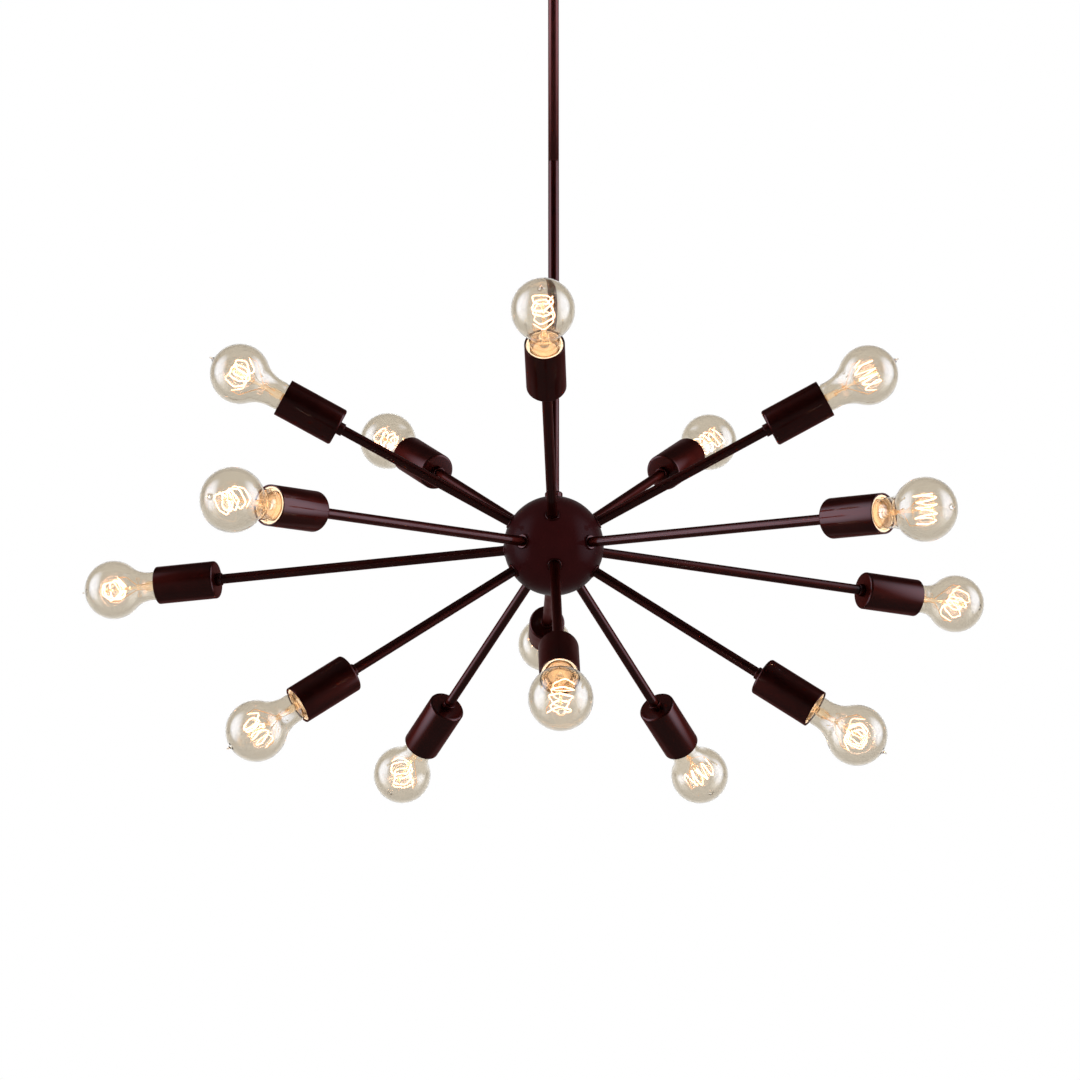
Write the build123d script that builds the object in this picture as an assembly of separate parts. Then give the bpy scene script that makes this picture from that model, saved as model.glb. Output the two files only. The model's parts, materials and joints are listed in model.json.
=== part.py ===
"""Ceiling chandelier: a ball on a stem, with radial arms that each end in a cup and a bare bulb.

Millimetres, +Z up. The origin is the middle of the mounting strap in the ceiling plane, and the
light hangs below it. The side that faces -Y is the front.
"""
from build123d import *
from math import cos, pi, radians, sin, sqrt
import os

# Tiers of arms: angle above the horizontal, hub centre to the back of the cup, and compass angles
# counted from +X towards +Y, starting at the front
UPPER_ELEVATION = 27.3
UPPER_REACH = 245.0
UPPER_AZIMUTHS = (268.0, 351.0, 58.0, 124.0, 190.0)
MIDDLE_ELEVATION = -3.1
MIDDLE_REACH = 354.5
MIDDLE_AZIMUTHS = (231.0, 317.0, 25.0, 91.0, 166.0)
LOWER_ELEVATION = -33.4
LOWER_REACH = 248.5
LOWER_AZIMUTHS = (271.0, 350.0, 59.0, 122.0, 196.0)

# Hub ball
HUB_DROP = 740.0
HUB_DIAMETER = 100.0
HUB_WALL = 5.0
SPOT_FACE_DEPTH = 0.4

# Arms
ARM_DIAMETER = 10.0
ARM_WALL = 1.5
ARM_INSET = 1.5
HUB_COLLAR_DIAMETER = 14.0
HUB_COLLAR_LENGTH = 1.6
CUP_COLLAR_DIAMETER = 13.0
CUP_COLLAR_LENGTH = 5.5
ARM_THREAD_LENGTH = 12.0

# Lamp cups
CUP_DIAMETER = 38.4
CUP_LENGTH = 63.0
CUP_WALL = 1.2
CUP_BACK = 2.0
CUP_BACK_ROUNDING = 2.5
CUP_RIM_ROUNDING = 0.5

# Lampholders
HOLDER_CLEARANCE = 0.25
HOLDER_BELOW_RIM = 1.2
HOLDER_RIM_WIDTH = 2.0
HOLDER_MOUTH_DEPTH = 5.0
HOLDER_FOOT_DIAMETER = 18.0
HOLDER_FOOT_LENGTH = 15.0
HOLDER_EDGE = 1.0
SHELL_WALL = 0.4
SHELL_LIP = 4.0
TONGUE_DIAMETER = 7.0
TONGUE_HEIGHT = 2.5

# Bulbs: a pear-shaped envelope on a screw cap with seven threads to the inch
BULB_DIAMETER = 60.0
BULB_CENTRE_FROM_RIM = 48.4
NECK_DIAMETER = 29.0
NECK_SWEEP_RADIUS = 30.0
NECK_TAPER_LENGTH = 5.0
NECK_IN_CAP = 4.0
GLASS_WALL = 0.9
TIP_HEIGHT = 4.5
TIP_BASE_RADIUS = 3.2
TIP_END_RADIUS = 0.8
CAP_DIAMETER = 26.2
CAP_WALL = 0.4
CAP_LENGTH = 21.5
CAP_BELOW_RIM = 2.6
INSULATOR_PLUG = 1.5
INSULATOR_HEIGHT = 3.6
INSULATOR_END_DIAMETER = 13.0
CONTACT_DIAMETER = 9.5
CONTACT_HEIGHT = 1.6
CONTACT_EDGE = 0.8
THREAD_PITCH = 25.4 / 7
ENGAGED_TURNS = 4.5

# Glass stem and filament coil inside each bulb, with heights from the centre of the round part
STEM_FLARE_HEIGHT = 9.0
STEM_ROD_DIAMETER = 6.0
STEM_ROD_TOP = -27.0
SUPPORT_DIAMETER = 2.4
BUTTON_BELOW_COIL = 3.0
BUTTON_DIAMETER = 4.4
BUTTON_HEIGHT = 2.5
FILAMENT_DIAMETER = 0.6
COIL_RADIUS = 12.0
COIL_PITCH = 7.0
COIL_TURNS = 4
LEAD_OFFSET = 1.4
LEAD_RISE = 4.0
LEAD_TURN_LEVEL = -9.0
LEAD_BEND_RADIUS = 2.5

# Stem
STEM_DIAMETER = 11.0
STEM_WALL = 1.5
SEAM_ABOVE_HUB = 398.0
SPIGOT_LENGTH = 14.0
SPIGOT_WALL = 1.2
CHECK_RING_DIAMETER = 17.8
CHECK_RING_HEIGHT = 6.0
CHECK_RING_ROUNDING = 2.4

# Ceiling fixing
CANOPY_DIAMETER = 127.0
CANOPY_DEPTH = 28.0
CANOPY_WALL = 1.2
CANOPY_ROUNDING = 12.0
STRAP_PAST_SLOT = 2.55
STRAP_WIDTH = 17.0
STRAP_THICKNESS = 2.5
SCREW_SPACING = 88.9
SCREW_SLOT_WIDTH = 5.0
SCREW_SLOT_LENGTH = 12.0

# Hang-straight swivel
SHANK_DIAMETER = 9.7
WIRE_WAY_DIAMETER = 6.0
SOCKET_DIAMETER = 24.0
SOCKET_HEIGHT = 17.0
SOCKET_EDGE = 2.0
STUD_DIAMETER = 10.0
STUD_LENGTH = 13.0
YOKE_DIAMETER = 23.0
YOKE_CROWN_HEIGHT = 6.0
EAR_THICKNESS = 4.0
EYE_THICKNESS = 10.0
EYE_WIDTH = 16.0
PIN_DIAMETER = 6.0
PIN_HEAD_DIAMETER = 9.0
PIN_HEAD_HEIGHT = 1.2
PIN_BELOW_CROWN = 12.0
KNUCKLE_NECK = 16.0
KNUCKLE_DIAMETER = 19.0
KNUCKLE_HEIGHT = 16.0
KNUCKLE_EDGE = 3.0
STEM_SOCKET_DEPTH = 12.0

# Fits
SEAT_CLEARANCE = 0.05
RUNNING_CLEARANCE = 0.05
SLIDING_GAP = 0.3
THREAD_CLEARANCE = 0.4
MATCH_TOLERANCE = 0.001

# Places on the hub, as distances from its centre
HUB_RADIUS = HUB_DIAMETER / 2
HUB_CENTRE = Vector(0, 0, -HUB_DROP)
ARM_SEAT = sqrt(HUB_RADIUS**2 - (HUB_COLLAR_DIAMETER / 2) ** 2) - SPOT_FACE_DEPTH
RING_SEAT = sqrt(HUB_RADIUS**2 - (CHECK_RING_DIAMETER / 2) ** 2) - SPOT_FACE_DEPTH
TUBE_END = HUB_RADIUS - HUB_WALL - ARM_INSET

# Places along a bulb, as heights from the centre of its round part
BULB_RADIUS = BULB_DIAMETER / 2
CAP_TOP = -BULB_CENTRE_FROM_RIM - CAP_BELOW_RIM
CAP_BOTTOM = CAP_TOP - CAP_LENGTH
CAP_INSIDE = CAP_DIAMETER / 2 - CAP_WALL
CONTACT_SEAT = CAP_BOTTOM - INSULATOR_HEIGHT
CONTACT_END = CONTACT_SEAT - CONTACT_HEIGHT

# Shape of the filament's coil, which lies across the bulb, and the step at which its gaps are measured.
# An odd number of half turns lets it start on one side of the stem and end on the other.
COIL_HALF_TURNS = 2 * COIL_TURNS + 1
COIL_LENGTH = COIL_HALF_TURNS * COIL_PITCH / 2
SUPPORT_TOP = COIL_RADIUS - BUTTON_BELOW_COIL
GAP_STEP = 0.5

# Places in a lamp, as heights from the back of its cup
BULB_CENTRE = CUP_LENGTH + BULB_CENTRE_FROM_RIM
SHELL_OUTSIDE = CAP_DIAMETER / 2 + THREAD_CLEARANCE + SHELL_WALL
SHELL_TOP = BULB_CENTRE + CAP_BOTTOM + ENGAGED_TURNS * THREAD_PITCH
HOLDER_FLOOR = BULB_CENTRE + CONTACT_END - SLIDING_GAP - TONGUE_HEIGHT

# Places down the swivel and the stem
SOCKET_BOTTOM = -CANOPY_DEPTH - SOCKET_HEIGHT
CROWN_TOP = SOCKET_BOTTOM - SLIDING_GAP
CROWN_BOTTOM = CROWN_TOP - YOKE_CROWN_HEIGHT
PIN_LEVEL = CROWN_BOTTOM - PIN_BELOW_CROWN
KNUCKLE_TOP = PIN_LEVEL - KNUCKLE_NECK
KNUCKLE_BOTTOM = KNUCKLE_TOP - KNUCKLE_HEIGHT
STEM_TOP = KNUCKLE_BOTTOM + STEM_SOCKET_DEPTH
SEAM_LEVEL = SEAM_ABOVE_HUB - HUB_DROP
EAR_INSIDE = EYE_THICKNESS / 2 + SLIDING_GAP
EAR_OUTSIDE = EAR_INSIDE + EAR_THICKNESS


def turned(*outline):
    """A solid of revolution about Z from corner points given as (radius, height)."""
    face = make_face(Polyline(*outline, close=True))
    return revolve(Plane.XZ * face, Axis.Z)


def tube(radius, bore, low, high):
    """A straight tube along Z between two heights."""
    return turned((bore, low), (radius, low), (radius, high), (bore, high))


def rod(radius, low, high):
    """A round bar along Z between two heights."""
    return turned((0, low), (radius, low), (radius, high), (0, high))


def ring_edges(solid, radius, height):
    """The circular edges of a turned solid at one radius and height."""
    circles = solid.edges().filter_by(GeomType.CIRCLE)
    at_height = [edge for edge in circles if abs(edge.arc_center.Z - height) < MATCH_TOLERANCE]
    return [edge for edge in at_height if abs(edge.radius - radius) < MATCH_TOLERANCE]


def lamp_places():
    """Name, reach and frame of each lamp: origin at the hub centre, Z out along the arm."""
    tiers = (
        ("upper", UPPER_ELEVATION, UPPER_REACH, UPPER_AZIMUTHS),
        ("middle", MIDDLE_ELEVATION, MIDDLE_REACH, MIDDLE_AZIMUTHS),
        ("lower", LOWER_ELEVATION, LOWER_REACH, LOWER_AZIMUTHS),
    )
    places = []
    for tier, elevation, reach, azimuths in tiers:
        level = cos(radians(elevation))
        rise = sin(radians(elevation))
        for number, azimuth in enumerate(azimuths, start=1):
            across = cos(radians(azimuth))
            along = sin(radians(azimuth))
            outward = Vector(across * level, along * level, rise)
            sideways = Vector(-along, across, 0)
            frame = Plane(origin=HUB_CENTRE, x_dir=sideways, z_dir=outward)
            places.append((f"{tier}_{number}", reach, frame))
    return places


def hub_drill(hole_diameter, face_diameter, seat):
    """The tool that drills a hole out through the ball and faces it flat at a seat."""
    hole = rod(hole_diameter / 2 + SEAT_CLEARANCE, TUBE_END, HUB_DIAMETER)
    return hole + rod(face_diameter / 2 + SEAT_CLEARANCE, seat, HUB_DIAMETER)


def make_hub(frames):
    """A hollow ball with a spot-faced hole for each arm, and one on top for the stem."""
    ball = Sphere(HUB_RADIUS) - Sphere(HUB_RADIUS - HUB_WALL)
    arm_drill = hub_drill(ARM_DIAMETER, HUB_COLLAR_DIAMETER, ARM_SEAT)
    stem_drill = hub_drill(STEM_DIAMETER, CHECK_RING_DIAMETER, RING_SEAT)
    cuts = [frame.location * arm_drill for frame in frames]
    cuts.append(Pos(HUB_CENTRE) * stem_drill)
    return Pos(HUB_CENTRE) * ball - cuts


def make_arm(reach):
    """A tube from inside the hub to the thread that holds the lampholder, with its two collars."""
    radius = ARM_DIAMETER / 2
    bore = radius - ARM_WALL
    hub_collar = HUB_COLLAR_DIAMETER / 2
    cup_collar = CUP_COLLAR_DIAMETER / 2
    hub_collar_end = ARM_SEAT + HUB_COLLAR_LENGTH
    cup_collar_start = reach - CUP_COLLAR_LENGTH
    thread_end = reach + CUP_BACK + ARM_THREAD_LENGTH
    return turned(
        (bore, TUBE_END),
        (radius, TUBE_END),
        (radius, ARM_SEAT),
        (hub_collar, ARM_SEAT),
        (hub_collar, hub_collar_end),
        (radius, hub_collar_end),
        (radius, cup_collar_start),
        (cup_collar, cup_collar_start),
        (cup_collar, reach),
        (radius, reach),
        (radius, thread_end),
        (bore, thread_end),
    )


def make_cup():
    """The cup, with its back at height 0 and its mouth at the top."""
    outside = CUP_DIAMETER / 2
    inside = outside - CUP_WALL
    hole = ARM_DIAMETER / 2 + SEAT_CLEARANCE
    cup = turned(
        (hole, 0),
        (outside, 0),
        (outside, CUP_LENGTH),
        (inside, CUP_LENGTH),
        (inside, CUP_BACK),
        (hole, CUP_BACK),
    )
    cup = fillet(ring_edges(cup, outside, 0), CUP_BACK_ROUNDING)
    cup = fillet(ring_edges(cup, inside, CUP_BACK), CUP_BACK_ROUNDING - CUP_WALL)
    return fillet(ring_edges(cup, outside, CUP_LENGTH), CUP_RIM_ROUNDING)


def make_holder_body():
    """An insulating lampholder that stands on the cup's back, on the threaded end of the arm.

    Its rim stands just inside the cup's, round a wider mouth for the neck of the bulb.
    """
    outside = CUP_DIAMETER / 2 - CUP_WALL - HOLDER_CLEARANCE
    foot = HOLDER_FOOT_DIAMETER / 2
    hole = ARM_DIAMETER / 2 + SEAT_CLEARANCE
    hole_top = CUP_BACK + ARM_THREAD_LENGTH + SEAT_CLEARANCE
    bore = SHELL_OUTSIDE + SEAT_CLEARANCE
    foot_top = CUP_BACK + HOLDER_FOOT_LENGTH
    mouth = CUP_LENGTH - HOLDER_BELOW_RIM
    mouth_floor = mouth - HOLDER_MOUTH_DEPTH
    mouth_bore = outside - HOLDER_RIM_WIDTH
    body = turned(
        (hole, CUP_BACK),
        (foot, CUP_BACK),
        (foot, foot_top),
        (outside, foot_top),
        (outside, mouth),
        (mouth_bore, mouth),
        (mouth_bore, mouth_floor),
        (bore, mouth_floor),
        (bore, HOLDER_FLOOR),
        (0, HOLDER_FLOOR),
        (0, hole_top),
        (hole, hole_top),
    )
    body = chamfer(ring_edges(body, outside, foot_top), HOLDER_EDGE)
    return fillet(ring_edges(body, outside, mouth), HOLDER_EDGE)


def make_holder_shell():
    """The thin screw shell, turned in at the bottom, that the bulb's cap screws into."""
    inside = SHELL_OUTSIDE - SHELL_WALL
    return turned(
        (inside - SHELL_LIP, HOLDER_FLOOR),
        (SHELL_OUTSIDE, HOLDER_FLOOR),
        (SHELL_OUTSIDE, SHELL_TOP),
        (inside, SHELL_TOP),
        (inside, HOLDER_FLOOR + SHELL_WALL),
        (inside - SHELL_LIP, HOLDER_FLOOR + SHELL_WALL),
    )


def make_holder_contact():
    """The contact on the lampholder's floor, just under the bulb's own."""
    return rod(TONGUE_DIAMETER / 2, HOLDER_FLOOR, HOLDER_FLOOR + TONGUE_HEIGHT)


def pear_outline(radius, neck, hollow_radius, start):
    """The bulb's outline from a start point near the crown down to its neck.

    The round part runs into the neck through a hollow curve that is tangent to both.
    """
    across = neck + hollow_radius
    drop = sqrt((radius + hollow_radius) ** 2 - across**2)
    hollow_centre = Vector(across, -drop)
    join = hollow_centre * (radius / (radius + hollow_radius))
    neck_top = hollow_centre - Vector(hollow_radius, 0)
    towards = (join - hollow_centre) + (neck_top - hollow_centre)
    halfway = hollow_centre + towards.normalized() * hollow_radius
    crown = ThreePointArc(start, (radius, 0), join)
    hollow = ThreePointArc(join, halfway, neck_top)
    return crown, hollow, neck_top


def make_envelope():
    """Blown glass with an exhaust tip, closed at the neck by the flared stem that carries the filament.

    The stem goes on up into the coil as a thin rod with a button at its end.
    """
    neck = NECK_DIAMETER / 2
    foot = CAP_INSIDE - SEAT_CLEARANCE
    taper_top = CAP_TOP + NECK_TAPER_LENGTH
    bottom = CAP_TOP - NECK_IN_CAP
    tip_top = BULB_RADIUS + TIP_HEIGHT
    tip_root = (TIP_BASE_RADIUS, sqrt(BULB_RADIUS**2 - TIP_BASE_RADIUS**2))
    tip_side = (TIP_END_RADIUS, tip_top - TIP_END_RADIUS)
    tip_end = RadiusArc((0, tip_top), tip_side, TIP_END_RADIUS)
    tip_flank = TangentArc(tip_side, tip_root, tangent=(0, -1))
    crown, hollow, neck_top = pear_outline(BULB_RADIUS, neck, NECK_SWEEP_RADIUS, tip_root)
    base = Polyline(
        neck_top,
        (neck, taper_top),
        (foot, CAP_TOP),
        (foot, bottom),
        (0, bottom),
        (0, tip_top),
    )
    outside = make_face([tip_end, tip_flank, crown, hollow, base])

    inner_radius = BULB_RADIUS - GLASS_WALL
    inner_neck = neck - GLASS_WALL
    inner_foot = foot - GLASS_WALL
    inner_bottom = bottom + GLASS_WALL
    stem_rod = STEM_ROD_DIAMETER / 2
    support = SUPPORT_DIAMETER / 2
    button = BUTTON_DIAMETER / 2
    inner_hollow = NECK_SWEEP_RADIUS + GLASS_WALL
    crown, hollow, neck_top = pear_outline(inner_radius, inner_neck, inner_hollow, (0, inner_radius))
    base = Polyline(
        neck_top,
        (inner_neck, taper_top),
        (inner_foot, CAP_TOP),
        (inner_foot, inner_bottom),
        (stem_rod, inner_bottom + STEM_FLARE_HEIGHT),
        (stem_rod, STEM_ROD_TOP),
        (support, STEM_ROD_TOP),
        (support, SUPPORT_TOP - BUTTON_HEIGHT),
        (button, SUPPORT_TOP - BUTTON_HEIGHT),
        (button, SUPPORT_TOP),
        (0, SUPPORT_TOP),
        (0, inner_radius),
    )
    inside = make_face([crown, hollow, base])
    return revolve(Plane.XZ * (outside - inside), Axis.Z)


def filament_lead():
    """One end of the wire: up from the glass stem, out to the coil's end and up its side."""
    root = Vector(-LEAD_OFFSET, -LEAD_OFFSET, STEM_ROD_TOP)
    end = Vector(-COIL_RADIUS, -COIL_LENGTH / 2, 0)
    corners = (
        root,
        root + Vector(0, 0, LEAD_RISE),
        end + Vector(0, 0, LEAD_TURN_LEVEL),
        end,
    )
    return FilletPolyline(*corners, radius=LEAD_BEND_RADIUS).edges()


def filament_path():
    """One wire: up a lead from the glass stem, along the coil in half turns, and down to the stem."""
    crest = sqrt(COIL_RADIUS**2 + (COIL_PITCH / 4) ** 2)
    path = list(filament_lead())
    for half_turn in range(COIL_HALF_TURNS):
        side = -1 if half_turn % 2 == 0 else 1
        start = half_turn * COIL_PITCH / 2 - COIL_LENGTH / 2
        near = (side * COIL_RADIUS, start, 0)
        top = (0, start + COIL_PITCH / 4, -side * crest)
        far = (-side * COIL_RADIUS, start + COIL_PITCH / 2, 0)
        path.append(ThreePointArc(near, top, far))
    path += [Rot(0, 0, 180) * edge for edge in filament_lead()]
    return Wire(path)


def least_gap(wire, diameter, apart):
    """The least clear gap in a bent wire between points further apart along it than a half turn."""
    count = round(wire.length / GAP_STEP)
    skip = round(apart / GAP_STEP)
    points = [wire.position_at(index / count) for index in range(count + 1)]
    pairs = [(here, there) for index, here in enumerate(points) for there in points[index + skip :]]
    return min((here - there).length for here, there in pairs) - diameter


def make_filament(path):
    """The filament's wire, swept along its path."""
    start = Plane(origin=path.position_at(0), z_dir=path.tangent_at(0))
    return sweep(start * Circle(FILAMENT_DIAMETER / 2), path=path)


def make_cap():
    """The bulb's screw cap: a brass shell, and the black glass that insulates its end contact."""
    plug = CAP_INSIDE - SEAT_CLEARANCE
    shell = tube(CAP_DIAMETER / 2, CAP_INSIDE, CAP_BOTTOM, CAP_TOP)
    insulator = turned(
        (0, CONTACT_SEAT),
        (INSULATOR_END_DIAMETER / 2, CONTACT_SEAT),
        (plug, CAP_BOTTOM),
        (plug, CAP_BOTTOM + INSULATOR_PLUG),
        (0, CAP_BOTTOM + INSULATOR_PLUG),
    )
    return [shell, insulator]


def make_bulb_contact():
    """The end contact of a bulb."""
    radius = CONTACT_DIAMETER / 2
    disc = rod(radius, CONTACT_END, CONTACT_SEAT - RUNNING_CLEARANCE)
    return fillet(ring_edges(disc, radius, CONTACT_END), CONTACT_EDGE)


def make_stem_upper():
    """The upper length of stem, with a spigot that screws into the lower one."""
    radius = STEM_DIAMETER / 2
    bore = radius - STEM_WALL
    spigot = bore - SEAT_CLEARANCE
    spigot_end = SEAM_LEVEL - SPIGOT_LENGTH
    return turned(
        (spigot - SPIGOT_WALL, spigot_end),
        (spigot, spigot_end),
        (spigot, SEAM_LEVEL),
        (radius, SEAM_LEVEL),
        (radius, STEM_TOP),
        (spigot - SPIGOT_WALL, STEM_TOP),
    )


def make_stem_lower():
    """The lower length of stem, from the seam down into the hub."""
    radius = STEM_DIAMETER / 2
    return tube(radius, radius - STEM_WALL, TUBE_END - HUB_DROP, SEAM_LEVEL)


def make_check_ring():
    """The rounded ring that stands on the hub round the stem."""
    radius = CHECK_RING_DIAMETER / 2
    low = RING_SEAT - HUB_DROP
    high = low + CHECK_RING_HEIGHT
    ring = tube(radius, STEM_DIAMETER / 2 + SEAT_CLEARANCE, low, high)
    return fillet(ring_edges(ring, radius, high), CHECK_RING_ROUNDING)


def make_canopy():
    """A round pressed cover, open at the ceiling, with a hole for the swivel's shank."""
    outside = CANOPY_DIAMETER / 2
    inside = outside - CANOPY_WALL
    hole = SHANK_DIAMETER / 2 + SEAT_CLEARANCE
    floor = -CANOPY_DEPTH + CANOPY_WALL
    cover = turned(
        (hole, -CANOPY_DEPTH),
        (outside, -CANOPY_DEPTH),
        (outside, 0),
        (inside, 0),
        (inside, floor),
        (hole, floor),
    )
    cover = fillet(ring_edges(cover, outside, -CANOPY_DEPTH), CANOPY_ROUNDING)
    return fillet(ring_edges(cover, inside, floor), CANOPY_ROUNDING - CANOPY_WALL)


def make_strap():
    """A flat bar with rounded ends, a slot for each box screw and a tapped hole in the middle."""
    slot_run = SCREW_SLOT_LENGTH - SCREW_SLOT_WIDTH
    length = SCREW_SPACING + SCREW_SLOT_LENGTH + 2 * STRAP_PAST_SLOT
    outline = SlotOverall(length, STRAP_WIDTH)
    outline -= Circle(SHANK_DIAMETER / 2 + SEAT_CLEARANCE)
    for side in (-1, 1):
        outline -= Pos(side * SCREW_SPACING / 2, 0) * SlotCenterToCenter(slot_run, SCREW_SLOT_WIDTH)
    return extrude(outline, -STRAP_THICKNESS)


def make_swivel_socket():
    """The fixed half of the swivel: a hollow threaded shank and the socket that holds the canopy up."""
    radius = SOCKET_DIAMETER / 2
    shank = SHANK_DIAMETER / 2
    wire_way = WIRE_WAY_DIAMETER / 2
    bore = STUD_DIAMETER / 2 + RUNNING_CLEARANCE
    bore_top = CROWN_TOP + STUD_LENGTH + SLIDING_GAP
    socket = turned(
        (wire_way, 0),
        (shank, 0),
        (shank, -CANOPY_DEPTH),
        (radius, -CANOPY_DEPTH),
        (radius, SOCKET_BOTTOM),
        (bore, SOCKET_BOTTOM),
        (bore, bore_top),
        (wire_way, bore_top),
    )
    return fillet(ring_edges(socket, radius, SOCKET_BOTTOM), SOCKET_EDGE)


def rounded_lug(end_level, thickness, start):
    """A plate across X, as wide as the knuckle's eye, rounded about the pin's axis."""
    height = abs(end_level - PIN_LEVEL)
    middle = (end_level + PIN_LEVEL) / 2
    outline = Pos(0, middle) * Rectangle(EYE_WIDTH, height) + Pos(0, PIN_LEVEL) * Circle(EYE_WIDTH / 2)
    return extrude(Plane.YZ.offset(start) * outline, thickness)


def pin_drill(clearance):
    """The tool that drills a hole along the pin's axis."""
    return Pos(0, 0, PIN_LEVEL) * Rot(0, 90, 0) * Cylinder(PIN_DIAMETER / 2 + clearance, YOKE_DIAMETER)


def make_yoke():
    """The half of the swivel that turns: a hollow stud, a crown and two ears."""
    radius = YOKE_DIAMETER / 2
    stud = STUD_DIAMETER / 2
    wire_way = WIRE_WAY_DIAMETER / 2
    crown = turned(
        (wire_way, CROWN_BOTTOM),
        (radius, CROWN_BOTTOM),
        (radius, CROWN_TOP),
        (stud, CROWN_TOP),
        (stud, CROWN_TOP + STUD_LENGTH),
        (wire_way, CROWN_TOP + STUD_LENGTH),
    )
    ears = rounded_lug(CROWN_BOTTOM, EAR_THICKNESS, EAR_INSIDE)
    ears += rounded_lug(CROWN_BOTTOM, EAR_THICKNESS, -EAR_OUTSIDE)
    ears &= rod(radius, PIN_LEVEL - EYE_WIDTH, CROWN_BOTTOM)
    return crown + ears - pin_drill(SEAT_CLEARANCE / 2)


def make_pin():
    """The pin through the ears, with a head at each end."""
    reach = EAR_OUTSIDE + PIN_HEAD_HEIGHT
    pin = rod(PIN_DIAMETER / 2, -reach, reach)
    pin += rod(PIN_HEAD_DIAMETER / 2, EAR_OUTSIDE, reach)
    pin += rod(PIN_HEAD_DIAMETER / 2, -reach, -EAR_OUTSIDE)
    return Pos(0, 0, PIN_LEVEL) * Rot(0, 90, 0) * pin


def make_knuckle():
    """The half of the swivel that tilts: an eye between the ears and a socket for the stem."""
    radius = KNUCKLE_DIAMETER / 2
    body = rod(radius, KNUCKLE_BOTTOM, KNUCKLE_TOP)
    body = fillet(ring_edges(body, radius, KNUCKLE_TOP), KNUCKLE_EDGE)
    body += rounded_lug(KNUCKLE_TOP, EYE_THICKNESS, -EYE_THICKNESS / 2)
    body -= rod(STEM_DIAMETER / 2 + SEAT_CLEARANCE, KNUCKLE_BOTTOM, STEM_TOP)
    return body - pin_drill(RUNNING_CLEARANCE)


def make_nodes():
    """Each named sub-part, in place."""
    places = lamp_places()
    frames = [frame for _, _, frame in places]
    nodes = {
        "mounting_strap": [make_strap()],
        "canopy": [make_canopy()],
        "swivel_socket": [make_swivel_socket()],
        "swivel_yoke": [make_yoke()],
        "swivel_pin": [make_pin()],
        "swivel_knuckle": [make_knuckle()],
        "stem_upper": [make_stem_upper()],
        "stem_lower": [make_stem_lower()],
        "stem_check_ring": [make_check_ring()],
        "hub": [make_hub(frames)],
        "arms": [frame.location * make_arm(reach) for _, reach, frame in places],
    }
    cup_pieces = {
        "lamp_cups": make_cup(),
        "lampholder_bodies": make_holder_body(),
        "lampholder_shells": make_holder_shell(),
        "lampholder_contacts": make_holder_contact(),
    }
    for name, piece in cup_pieces.items():
        nodes[name] = [frame.location * Pos(0, 0, reach) * piece for _, reach, frame in places]
    wire = filament_path()
    gap = least_gap(wire, FILAMENT_DIAMETER, pi * COIL_RADIUS)
    print(f"filament: {wire.length:.0f} mm of wire, least gap to itself {gap:.2f} mm")
    bulb_pieces = {
        "bulb_glass": [make_envelope(), make_filament(wire)],
        "bulb_cap": make_cap(),
        "bulb_contact": [make_bulb_contact()],
    }
    for lamp, reach, frame in places:
        seat = frame.location * Pos(0, 0, reach + BULB_CENTRE)
        for name, pieces in bulb_pieces.items():
            nodes[f"{name}_{lamp}"] = [seat * piece for piece in pieces]
    return nodes


def solids_of(pieces):
    """The separate solids of a node, as one shape to export."""
    solids = [solid for piece in pieces for solid in piece.solids()]
    return solids[0] if len(solids) == 1 else Compound(children=solids)


os.makedirs("parts", exist_ok=True)
for node, pieces in make_nodes().items():
    export_step(solids_of(pieces), f"parts/{node}.step")
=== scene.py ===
# %% [markdown]
# # A ball chandelier with bare bulbs
# A ball hangs from the ceiling on a thin stem. Straight arms run out of it in three tiers, and each arm
# ends in a metal cup with a bare filament bulb. The CAD model gives every size and place in one frame, so
# no piece is placed by eye. This script starts from that frame and adds what a solid can't have: finishes,
# blown glass, rolled threads, glowing wire and light.

import json
from math import acos, cos, degrees, pi, radians, sin, sqrt, tau

import bmesh
import bpy
from mathutils import Matrix, Vector


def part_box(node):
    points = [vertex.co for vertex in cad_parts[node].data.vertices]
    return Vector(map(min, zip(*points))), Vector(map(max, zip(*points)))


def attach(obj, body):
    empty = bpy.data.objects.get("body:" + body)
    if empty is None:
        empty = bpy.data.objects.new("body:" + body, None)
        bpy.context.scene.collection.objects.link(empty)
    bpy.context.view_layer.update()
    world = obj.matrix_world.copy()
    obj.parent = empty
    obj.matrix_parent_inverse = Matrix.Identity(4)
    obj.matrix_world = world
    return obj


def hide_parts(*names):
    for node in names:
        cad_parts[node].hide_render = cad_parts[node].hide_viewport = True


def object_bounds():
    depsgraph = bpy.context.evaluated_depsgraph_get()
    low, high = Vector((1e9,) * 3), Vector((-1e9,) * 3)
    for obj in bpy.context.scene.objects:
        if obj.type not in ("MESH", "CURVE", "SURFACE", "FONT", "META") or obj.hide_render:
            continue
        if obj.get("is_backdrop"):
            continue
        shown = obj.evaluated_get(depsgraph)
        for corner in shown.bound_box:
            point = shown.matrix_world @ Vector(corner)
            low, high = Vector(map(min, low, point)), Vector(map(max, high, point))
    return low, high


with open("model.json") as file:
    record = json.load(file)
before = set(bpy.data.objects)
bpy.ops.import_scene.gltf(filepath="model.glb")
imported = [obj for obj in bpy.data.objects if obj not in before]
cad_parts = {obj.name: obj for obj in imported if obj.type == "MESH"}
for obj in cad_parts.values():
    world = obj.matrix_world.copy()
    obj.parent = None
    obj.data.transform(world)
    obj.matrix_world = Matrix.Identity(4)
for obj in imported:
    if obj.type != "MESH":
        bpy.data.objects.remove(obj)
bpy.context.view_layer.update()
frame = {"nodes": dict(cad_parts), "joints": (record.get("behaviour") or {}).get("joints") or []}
scene = bpy.context.scene
MM = 0.001

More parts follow.
